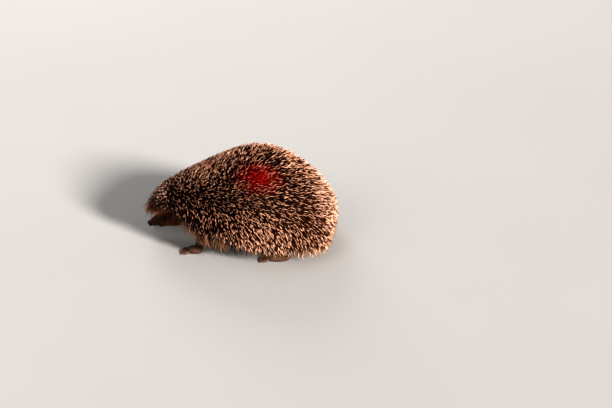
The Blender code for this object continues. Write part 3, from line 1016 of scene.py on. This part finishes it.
def down_flow(points, normals):
    """Down the leg, and forward where the leg becomes the top of the foot."""
    level = smoothstep(0.15, 0.65, normals[:, 2])[:, None]
    return np.array((0.25, 0.0, -1.0)) * (1 - level) + np.array((-1.0, 0.0, -0.1)) * level


def back_flow(points, normals):
    return np.broadcast_to(np.array((1.0, 0.0, -0.35)), points.shape).copy()


def toes_flow(points, normals):
    return np.broadcast_to(np.array((-1.0, 0.0, -0.15)), points.shape).copy()


def ear_flow(points, normals):
    """Out from the root of each ear towards its rim."""
    flow = np.zeros_like(points)
    for _, side in SIDES:
        base = np.array(Vector((EAR_BASE[0], side * EAR_BASE[1], EAR_BASE[2])))
        mask = np.sign(points[:, 1]) == side
        flow[mask] = points[mask] - base
    return flow


def on_crown(points, normals):
    return on_mantle(points, normals) & (points[:, 0] < -0.045)


def crown_flow(points, normals):
    return points - np.array(WHORL)


def leg_length(points):
    return np.interp(points[:, 2], (0.010, 0.016, 0.030), (0.0024, 0.0038, 0.0052))


def even(length):
    return lambda points: np.full(len(points), length)


Fur = namedtuple("Fur", "name slot look spacing radius keep flow length lift")
FURS = (
    Fur("fur_face", "face_fur", "face_hair", 0.00072, 0.00017, on_face, face_flow, face_length, face_lift),
    Fur("fur_muzzle", "face_fur", "face_hair", 0.00050, 0.00011, on_muzzle, face_flow, face_length,
        face_lift),
    Fur("fur_belly", "leg_fur", "body_hair", 0.0018, 0.00042, on_belly, back_flow, even(0.0105), even(0.22)),
    Fur("fur_legs", "leg_fur", "leg_hair", 0.00090, 0.00020, on_legs, down_flow, leg_length, even(0.17)),
    Fur("fur_feet", "leg_fur", "leg_hair", 0.00066, 0.00012, on_feet, toes_flow, even(0.0021), even(0.22)),
    Fur("fur_ears", "skin", "leg_hair", 0.00054, 0.00008, on_ear_backs, ear_flow, even(0.0021), even(0.24)),
    Fur("fur_crown", "spines", "leg_hair", 0.00125, 0.00020, on_crown, crown_flow, even(0.0080), even(0.60)),
    Fur("fur_tail", "skin", "leg_hair", 0.0012, 0.00016, tail_part, down_flow, even(0.0038), even(0.30)),
)

Fringe = namedtuple("Fringe", "name slot look spacing radius keep length")
FRINGES = (
    Fringe("fur_fringe", "leg_fur", "body_hair", 0.00125, 0.00028, on_fringe, 0.0200),
    Fringe("fur_brow", "face_fur", "brow_hair", 0.00100, 0.00019, on_brow, 0.0205),
)


def make_fringe(fringe, skin, rng):
    """Long hair hanging from the hem: inside the skirt on the body, and over the face below the brow."""
    points, normals = spread_points(skin.data, fringe.spacing, fringe.keep, rng)
    count = len(points)
    hanging = np.array((0.20, 0.0, -1.0))[None] + normals * 0.10
    ahead = smoothstep(-0.066, -0.084, points[:, 0])
    hanging[:, 0] += 0.22 * smoothstep(-0.010, -0.045, points[:, 0]) - 0.34 * ahead
    hanging[:, 1] += 6.0 * ahead * points[:, 1]
    direction = unit(hanging + rng.normal(0, 1.0, (count, 3)) * (0.13 + 0.10 * ahead)[:, None])
    leaving = unit(direction + normals * rng.uniform(0.35, 1.5, (count, 1)))
    lengths = fringe.length * rng.normal(1.0, 0.16, count).clip(0.6, 1.3)
    lengths = lengths * (1 - 0.66 * ahead * smoothstep(0.014, 0.032, np.abs(points[:, 1])))
    middle = ahead * smoothstep(0.032, 0.014, np.abs(points[:, 1]))
    lengths = lengths * (1 - 0.35 * ahead * beside_ears(points))
    # the brow's fur reaches below its spines
    reach = reach_to_tips(points, direction)
    longest = np.maximum(reach * (1.02 + 0.5 * ahead), 0.005 + 0.004 * ahead + 0.013 * middle)
    lengths = np.clip(lengths, 0.004, longest)
    return strand_mesh(fringe.name, points - normals * 0.0004, leaving, direction, lengths,
                       fringe.radius * rng.normal(1.0, 0.15, count).clip(0.6, 1.4), FRINGE_PROFILE,
                       FRINGE_HEIGHTS, 4, 0.6, unroll(points), rng)


def make_all_fur(skin, rng):
    """Every piece of fur, with its own row of the tables."""
    return [(make_fur(fur, skin, rng), fur) for fur in FURS] + [
        (make_fringe(fringe, skin, rng), fringe) for fringe in FRINGES]


# ---------------------------------------------------------------- nose, eyes, whiskers and claws

def make_nose():
    """A wet, rounded nose pad with a nostril on each side and a groove down its middle."""
    item = ball("nose_pad", (0, 0, 0), (1, 1, 1), segments=56, rings=36)
    co, _ = mesh_arrays(item.data)
    forward, across, up = co.T
    push = np.ones(len(co))
    for _, side in SIDES:
        # comma-shaped: a round hole with a slit running out and back from it
        hole = np.exp(-(((across - side * 0.50) / 0.20) ** 2 + ((up - 0.02) / 0.21) ** 2))
        slit = bell(up + 0.10 + 0.20 * (across * side - 0.5), 0.10)
        slit *= smoothstep(0.50, 0.80, across * side)
        push -= (0.62 * hole + 0.28 * slit) * smoothstep(-0.25, 0.05, forward)
    push -= 0.20 * bell(across, 0.075) * smoothstep(0.60, -0.1, up) * (forward > 0)
    push += 0.07 * bell(up - 0.80, 0.30)
    co *= push[:, None]
    co[:, 0] *= 1 - 0.18 * smoothstep(0.2, 1.0, forward)
    set_places(item.data, co * np.array(NOSE_RADII))
    item.data.transform(HEAD @ Matrix.Translation(NOSE_IN_HEAD))
    return item


def make_eye(name):
    return ball("eyeball_" + name, node_middle("eye_" + name), (EYE_RADIUS,) * 3, segments=40, rings=24)


def make_whiskers(rng):
    """Four rows of four whiskers on each side of the muzzle, swept back."""
    roots = []
    starts = []
    ends = []
    lengths = []
    for _, side in SIDES:
        for row in range(WHISKER_ROWS):
            for step in range(WHISKER_ROWS):
                along = 0.0515 - 0.0030 * step - 0.0006 * (row % 2)
                up = 0.0022 - 0.0016 * row
                half = face_size(along, "half_width")
                across = -side * half * math.sqrt(max(0.0, 1 - (up / (half * 0.95)) ** 2))
                roots.append(HEAD @ Vector((along, across * 0.96, up + 0.0008)))
                stray = rng.normal(0, 0.12, 3)
                out = Vector((-0.10 - 0.12 * step, -side * 1.0, 0.12 - 0.16 * row)) + Vector(stray)
                back = Vector((-0.95, -side * 0.85, -0.10 - 0.06 * row)) + Vector(stray * 1.5)
                starts.append((HEAD.to_3x3() @ out).normalized())
                ends.append((HEAD.to_3x3() @ back).normalized())
                lengths.append(0.014 + 0.0030 * step + rng.random() * 0.005)
    roots, starts, ends = (np.array(v, float) for v in (roots, starts, ends))
    ends[:, 2] = np.maximum(ends[:, 2], -0.25)
    return strand_mesh("whiskers", roots, unit(starts), unit(ends), np.array(lengths),
                       np.full(len(roots), WHISKER_RADIUS), WHISKER_PROFILE, WHISKER_HEIGHTS,
                       5, 1.0, unroll(roots, float(roots[:, 2].mean())), rng)


def make_claws():
    """A curved claw on each toe, ending just above the ground."""
    claws = []
    for kind in LEGS:
        for _, side in SIDES:
            for _, tip, forward in toe_places(kind):
                points = []
                radii = []
                for k in range(7):
                    share = k / 6
                    at = tip + forward * (CLAW_LENGTH[kind] * share - 0.0006)
                    at.z = 0.0020 + 0.0006 * math.sin(math.pi * share) - 0.0014 * share ** 1.6
                    points.append(foot_matrix(kind, side) @ at)
                    radii.append(CLAW_RADIUS * (1 - share ** 1.5) * 0.97 + 0.00007)
                claws.append(limb("claw", points, radii, 12))
    return join(claws, "claws")


# ---------------------------------------------------------------- materials

def node(tree, kind, values=None, **settings):
    """Add a shader node. Each value is a number, a colour, or the socket that feeds it."""
    item = tree.nodes.new(kind)
    for key, value in settings.items():
        setattr(item, key, value)
    for key, value in (values or {}).items():
        if isinstance(value, bpy.types.NodeSocket):
            tree.links.new(value, item.inputs[key])
        else:
            item.inputs[key].default_value = value
    return item


def maths(tree, operation, a, b):
    return node(tree, "ShaderNodeMath", {0: a, 1: b}, operation=operation).outputs[0]


def times(tree, a, b):
    return maths(tree, "MULTIPLY", a, b)


def inverse(tree, value):
    return maths(tree, "SUBTRACT", 1.0, value)


def mixed(tree, factor, a, b):
    values = {0: factor}
    for index, value in ((6, a), (7, b)):
        values[index] = value if isinstance(value, bpy.types.NodeSocket) else (*value, 1.0)
    return node(tree, "ShaderNodeMix", values, data_type="RGBA").outputs[2]


def ramp(tree, value, stops):
    """A grey for each place along a value, and straight lines between."""
    item = node(tree, "ShaderNodeValToRGB", {0: value})
    elements = item.color_ramp.elements
    while len(elements) < len(stops):
        elements.new(0.5)
    for element, (place, grey) in zip(elements, stops):
        element.position = place
        element.color = (grey, grey, grey, 1.0)
    return item.outputs[0]


def eased(tree, value, low, high):
    """0 below low, 1 above high, and smooth between."""
    item = node(tree, "ShaderNodeMapRange", {0: value, 1: low, 2: high}, interpolation_type="SMOOTHSTEP")
    return item.outputs[0]


def noise(tree, scale, detail=2.0):
    values = {"Vector": object_place(tree), "Scale": scale, "Detail": detail}
    return node(tree, "ShaderNodeTexNoise", values).outputs[0]


def cells(tree, scale):
    values = {"Vector": object_place(tree), "Scale": scale}
    return node(tree, "ShaderNodeTexVoronoi", values).outputs["Distance"]


def attribute(tree, name):
    return node(tree, "ShaderNodeAttribute", attribute_name=name).outputs["Fac"]


def object_place(tree):
    return node(tree, "ShaderNodeTexCoord").outputs["Object"]


def new_material(name, roughness, specular=0.5):
    """A material and its node tree."""
    material = bpy.data.materials.new(name)
    material.use_nodes = True
    inputs = material.node_tree.nodes["Principled BSDF"].inputs
    inputs["Roughness"].default_value = roughness
    inputs["Specular IOR Level"].default_value = specular
    return material, material.node_tree


def feed(material, **sockets):
    """Link sockets to the inputs of a material's shader."""
    tree = material.node_tree
    for name, socket in sockets.items():
        tree.links.new(socket, tree.nodes["Principled BSDF"].inputs[name.replace("_", " ")])
    return material


def bumped(tree, height, strength, distance):
    values = {"Strength": strength, "Distance": distance, "Height": height}
    return node(tree, "ShaderNodeBump", values).outputs[0]


def plus_marks(tree, value, marks, shares):
    """A value with shares of the markings added."""
    for name, share in shares.items():
        value = maths(tree, "ADD", value, times(tree, marks[name], share))
    return value


def tinted(tree, colour, marks, tints):
    """A colour mixed with others where the coat is marked."""
    for name, share, tint in tints:
        colour = mixed(tree, times(tree, marks[name], share), colour, tint)
    return colour


def make_markings():
    """Where the coat is marked, by place: red paint, the warm lower flank with painted light on it, the
    greyer crown with painted shade on the head end, the pale rump, painted shade on the low shoulder, and the
    crest of the back and rump."""
    tree = bpy.data.node_groups.new("markings", "ShaderNodeTree")
    place = object_place(tree)
    x, _, z = node(tree, "ShaderNodeSeparateXYZ", {0: place}).outputs
    off = node(tree, "ShaderNodeVectorMath", {0: place, 1: MARK_CENTRE}, operation="SUBTRACT").outputs[0]
    shares = node(tree, "ShaderNodeVectorMath", {0: off, 1: MARK_RADII}, operation="DIVIDE").outputs[0]
    far = node(tree, "ShaderNodeVectorMath", {0: shares}, operation="LENGTH").outputs["Value"]
    ragged = times(tree, maths(tree, "SUBTRACT", noise(tree, 260.0, 3.0), 0.5), 0.9)
    low = eased(tree, times(tree, z, -1.0), -0.112, -0.050)
    # warm: the lower rear flank, warmer in colour and also painted lighter, as painted light, up into the
    # flank
    warm = times(tree, eased(tree, x, -0.020, 0.060), low)
    shoulder = inverse(tree, eased(tree, x, -0.040, 0.040))
    marks = {
        "red": inverse(tree, eased(tree, maths(tree, "ADD", far, ragged), 0.20, 1.25)),
        "warm": warm,
        # dark: greyer spines on the crown, and painted shade darkening the head end back to the shoulder
        "dark": inverse(tree, eased(tree, x, -0.112, -0.040)),
        # pale: the rump, and most of the warm, partly painted-light lower flank
        "pale": maths(tree, "MAXIMUM", eased(tree, x, 0.070, 0.115), times(tree, warm, 0.8)),
        # painted shade on the low shoulder, under the front of the mantle
        "shoulder_shade": times(tree, shoulder, inverse(tree, eased(tree, z, 0.045, 0.080))),
        "crest": maths(tree, "MAXIMUM", eased(tree, x, 0.040, 0.090), eased(tree, z, 0.098, 0.128)),
    }
    for name in marks:
        tree.interface.new_socket(name, in_out="OUTPUT", socket_type="NodeSocketFloat")
    result = tree.nodes.new("NodeGroupOutput")
    for name, socket in marks.items():
        tree.links.new(socket, result.inputs[name])
    return tree


MARKINGS = make_markings()


def markings(tree):
    return node(tree, "ShaderNodeGroup", node_tree=MARKINGS).outputs


def strand_values(tree):
    """Place along a strand (0 root, 1 tip) and a number of its own."""
    return attribute(tree, "along"), attribute(tree, "chance")


def hashed(tree, chance, factor):
    """Another number between 0 and 1 from a strand's own."""
    return maths(tree, "FRACT", times(tree, chance, factor), 0.0)


def spine_material():
    """Banded spines, in colours and shares that the markings change, with the paint over them."""
    material, tree = new_material("spine", 0.36)
    along, chance = strand_values(tree)
    marks = markings(tree)
    other = hashed(tree, chance, 37.0)
    third = hashed(tree, chance, 91.0)
    # pale tips: lighter and warmer on the lower flank, partly painted light; greyer at the head end and
    # darker on the low shoulder, painted shade
    pale = tinted(tree, mixed(tree, chance, (0.94, 0.68, 0.54), (0.74, 0.36, 0.21)), marks, (
        ("warm", 0.45, (0.95, 0.62, 0.44)), ("dark", 0.40, (0.62, 0.49, 0.42)),
        ("pale", 0.50, (0.84, 0.62, 0.50)), ("shoulder_shade", 0.35, (0.20, 0.12, 0.085))))
    # the pale tip is longer on the rump and the crown
    shifted = maths(tree, "ADD", along, times(tree, maths(tree, "SUBTRACT", other, 0.5), 0.12))
    shifted = plus_marks(tree, shifted, marks, {"pale": 0.03, "dark": 0.05})
    # the root of each spine is painted nearly as dark as its band: painted shade among the crowded spines,
    # where the real root is pale
    band = ramp(tree, shifted, ((0.0, 0.10), (0.26, 0.18), (0.38, 0.0), (0.72, 0.0), (0.76, 1.0), (1.0, 1.0)))
    # about a third are dark to the tip, more along the crest and, as painted shade, on the low shoulder;
    # fewer on the lower flank, partly as painted light
    dark_tipped = plus_marks(tree, third, marks, {"crest": 0.28, "shoulder_shade": 0.34, "warm": -0.13})
    band = times(tree, band, inverse(tree, eased(tree, dark_tipped, 0.66, 0.72)))
    # the dark band is lighter and redder on the lower flank, partly as painted light
    dark = tinted(tree, (0.028, 0.0058, 0.0018), marks, (("warm", 0.55, (0.15, 0.052, 0.018)),))
    # paint covers the middle of the mark, and round it soaks only the dark parts of the spines
    dark = mixed(tree, eased(tree, marks["red"], 0.10, 0.45), dark, RED_SHADOW)
    core = maths(tree, "POWER", marks["red"], 8.0)
    near = times(tree, other, eased(tree, marks["red"], 0.02, 0.30))
    covered = eased(tree, maths(tree, "ADD", core, near), 0.94, 1.04)
    paint = mixed(tree, hashed(tree, chance, 53.0), RED_PAINT, RED_LIGHT)
    return feed(material, Base_Color=mixed(tree, covered, mixed(tree, band, dark, pale), paint))


def fur_material(name, root, tip, pale_tip):
    """Hair darker at its root, each tuft between two tip colours, and warmer and painted lighter on the lower
    flank towards the rump.
    """
    material, tree = new_material(name, 0.6, 0.3)
    along, chance = strand_values(tree)
    marks = markings(tree)
    ends = tinted(tree, mixed(tree, chance, tip, pale_tip), marks, (("warm", 0.5, (0.50, 0.26, 0.10)),))
    colour = mixed(tree, eased(tree, along, 0.05, 0.80), root, ends)
    return feed(material, Base_Color=mixed(tree, marks["red"], colour, RED_PAINT))


def skin_material():
    """Dark skin, painted darker still under the spines as shade among them; greyer and barer on the feet and
    ears, and with the paint of the coat over it.
    """
    material, tree = new_material("skin", 0.60, 0.35)
    z = node(tree, "ShaderNodeSeparateXYZ", {0: object_place(tree)}).outputs["Z"]
    fine = noise(tree, 1100.0, 4.0)
    broad = noise(tree, 140.0, 3.0)
    ears, face, rims = (attribute(tree, name) for name in ("ears", "face", "rims"))
    scales = times(tree, cells(tree, 1300.0), inverse(tree, times(tree, ears, 0.85)))
    naked = maths(tree, "MAXIMUM", inverse(tree, eased(tree, z, 0.006, 0.014)), ears)
    # skin under the spines: its own dark colour, painted near black as shade among the spines
    covered = mixed(tree, broad, (0.018, 0.0095, 0.0058), (0.032, 0.017, 0.0105))
    covered = mixed(tree, face, covered, (0.060, 0.027, 0.013))
    bare = mixed(tree, broad, (0.13, 0.080, 0.062), (0.22, 0.14, 0.11))
    bare = mixed(tree, times(tree, scales, 0.5), bare, (0.070, 0.042, 0.034))
    ear = mixed(tree, broad, (0.23, 0.130, 0.098), (0.36, 0.215, 0.165))
    colour = mixed(tree, ears, mixed(tree, naked, covered, bare), ear)
    flecks = maths(tree, "ADD", times(tree, naked, 0.20), 0.05)
    colour = mixed(tree, times(tree, fine, flecks), colour, (0.11, 0.062, 0.042))
    colour = mixed(tree, rims, colour, (0.012, 0.008, 0.007))
    colour = tinted(tree, colour, markings(tree), (("red", 0.9, RED_SKIN),))
    height = maths(tree, "ADD", fine, times(tree, scales, 1.4))
    return feed(material, Base_Color=colour, Normal=bumped(tree, height, 0.6, 0.0003))


def nose_material():
    material, tree = new_material("nose", 0.30)
    grain = cells(tree, 4200.0)
    colour = mixed(tree, grain, (0.006, 0.005, 0.005), (0.022, 0.017, 0.016))
    return feed(material, Base_Color=colour, Normal=bumped(tree, grain, 0.35, 0.00010))


def eye_material():
    material, tree = new_material("eye", 0.05, 0.35)
    colour = mixed(tree, noise(tree, 500.0), (0.0012, 0.0008, 0.0006), (0.006, 0.003, 0.002))
    return feed(material, Base_Color=colour)


def whisker_material():
    material, tree = new_material("whisker", 0.45)
    colour = mixed(tree, attribute(tree, "along"), (0.010, 0.007, 0.005), (0.060, 0.040, 0.028))
    return feed(material, Base_Color=colour)


def claw_material():
    material, tree = new_material("claw", 0.38)
    colour = mixed(tree, noise(tree, 1500.0, 3.0), (0.10, 0.062, 0.040), (0.26, 0.18, 0.125))
    return feed(material, Base_Color=colour)


def floor_material():
    material, tree = new_material("floor", 0.9, 0.2)
    colour = mixed(tree, noise(tree, 3.0), (0.43, 0.445, 0.455), (0.45, 0.465, 0.475))
    return feed(material, Base_Color=colour)


# ---------------------------------------------------------------- stage, light and camera

def make_stage():
    shape = bmesh.new()
    bmesh.ops.create_grid(shape, x_segments=1, y_segments=1, size=FLOOR_SIZE)
    floor = object_of("floor", shape)
    floor.data.materials.append(floor_material())


def place_light(light, place):
    item = bpy.data.objects.new(light.name, light)
    item.location = place
    item.rotation_euler = (Vector(LIGHT_AIM) - Vector(place)).to_track_quat("-Z", "Y").to_euler()
    bpy.context.scene.collection.objects.link(item)


def make_lights():
    """A warm key from the animal's rear left, two broad lamps, and a weak even sky."""
    key = bpy.data.lights.new("key", "SUN")
    key.energy = KEY_STRENGTH
    key.angle = KEY_SOFTNESS
    key.color = KEY_COLOUR
    place_light(key, KEY_FROM)
    for name, place, power in LAMPS:
        lamp = bpy.data.lights.new(name, "AREA")
        lamp.shape = "DISK"
        lamp.size = LAMP_SIZE
        lamp.energy = power
        lamp.color = LAMP_COLOUR
        place_light(lamp, place)
    world = bpy.data.worlds.new("studio")
    world.use_nodes = True
    sky = world.node_tree.nodes["Background"].inputs
    sky["Color"].default_value = WORLD_COLOUR
    sky["Strength"].default_value = WORLD_STRENGTH
    bpy.context.scene.world = world
    bpy.context.scene.view_settings.view_transform = "Standard"
    bpy.context.scene.view_settings.look = "Very High Contrast"


def make_camera():
    level = math.cos(CAMERA_ELEVATION)
    back = Vector((math.sin(CAMERA_AZIMUTH) * level, -math.cos(CAMERA_AZIMUTH) * level,
                   math.sin(CAMERA_ELEVATION)))
    right = Vector((math.cos(CAMERA_AZIMUTH), math.sin(CAMERA_AZIMUTH), 0.0))
    up = back.cross(right)
    data = bpy.data.cameras.new("camera")
    data.lens = CAMERA_LENS
    data.sensor_width = CAMERA_SENSOR
    camera = bpy.data.objects.new("camera", data)
    aim = Vector((0.0, 0.0, AIM_HEIGHT)) + right * AIM_RIGHT - up * AIM_DOWN
    turn = Matrix((right, up, back)).transposed().to_4x4()
    camera.matrix_world = Matrix.Translation(aim + back * CAMERA_DISTANCE) @ turn
    bpy.context.scene.collection.objects.link(camera)
    bpy.context.scene.camera = camera


def dress(item, material, slot, *nodes):
    """Give a piece its material and its place on the model."""
    item.data.materials.clear()
    item.data.materials.append(material)
    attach(item, BODY)
    if nodes:
        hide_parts(*nodes)


def mark_skin(skin):
    """Values on the skin for its material: 1 on the ears, on the face, and on the dark lids and lips."""
    co, _ = mesh_arrays(skin.data)
    add_values(skin.data, "ears", on_ears(co))
    along = in_head(co)[:, 0]
    add_values(skin.data, "face", (under_hood(co) & ~on_limbs(co)) * smoothstep(-0.030, -0.010, along))
    rims = smoothstep(0.0540, 0.0560, along) * (co[:, 0] < -0.1)
    for name, _ in SIDES:
        rims = np.maximum(rims, smoothstep(0.0062, 0.0044, from_eye(co, name)))
    add_values(skin.data, "rims", rims)


def make_hedgehog():
    rng = np.random.default_rng(SEED)
    skin = make_skin()
    flesh = ["trunk", "neck", "head", "snout", "tail"]
    for name, _ in SIDES:
        flesh += [part + "_" + name for part in ("ear", "foreleg", "forefoot", "hindleg", "hindfoot")]
    spines = make_all_spines(skin, rng)
    furs = make_all_fur(skin, rng)
    mark_skin(skin)
    dress(skin, skin_material(), "skin", *flesh)
    spine_look = spine_material()
    for piece in spines:
        dress(piece, spine_look, "spines")
    hairs = {name: fur_material(name, *colours) for name, colours in HAIRS.items()}
    for piece, row in furs:
        dress(piece, hairs[row.look], row.slot)
    dress(make_nose(), nose_material(), "nose", "nose")
    eye_look = eye_material()
    for name, _ in SIDES:
        dress(make_eye(name), eye_look, "eyes", "eye_" + name)
    dress(make_whiskers(rng), whisker_material(), "face_fur")
    dress(make_claws(), claw_material(), "skin")


make_camera()
make_hedgehog()
make_stage()
make_lights()
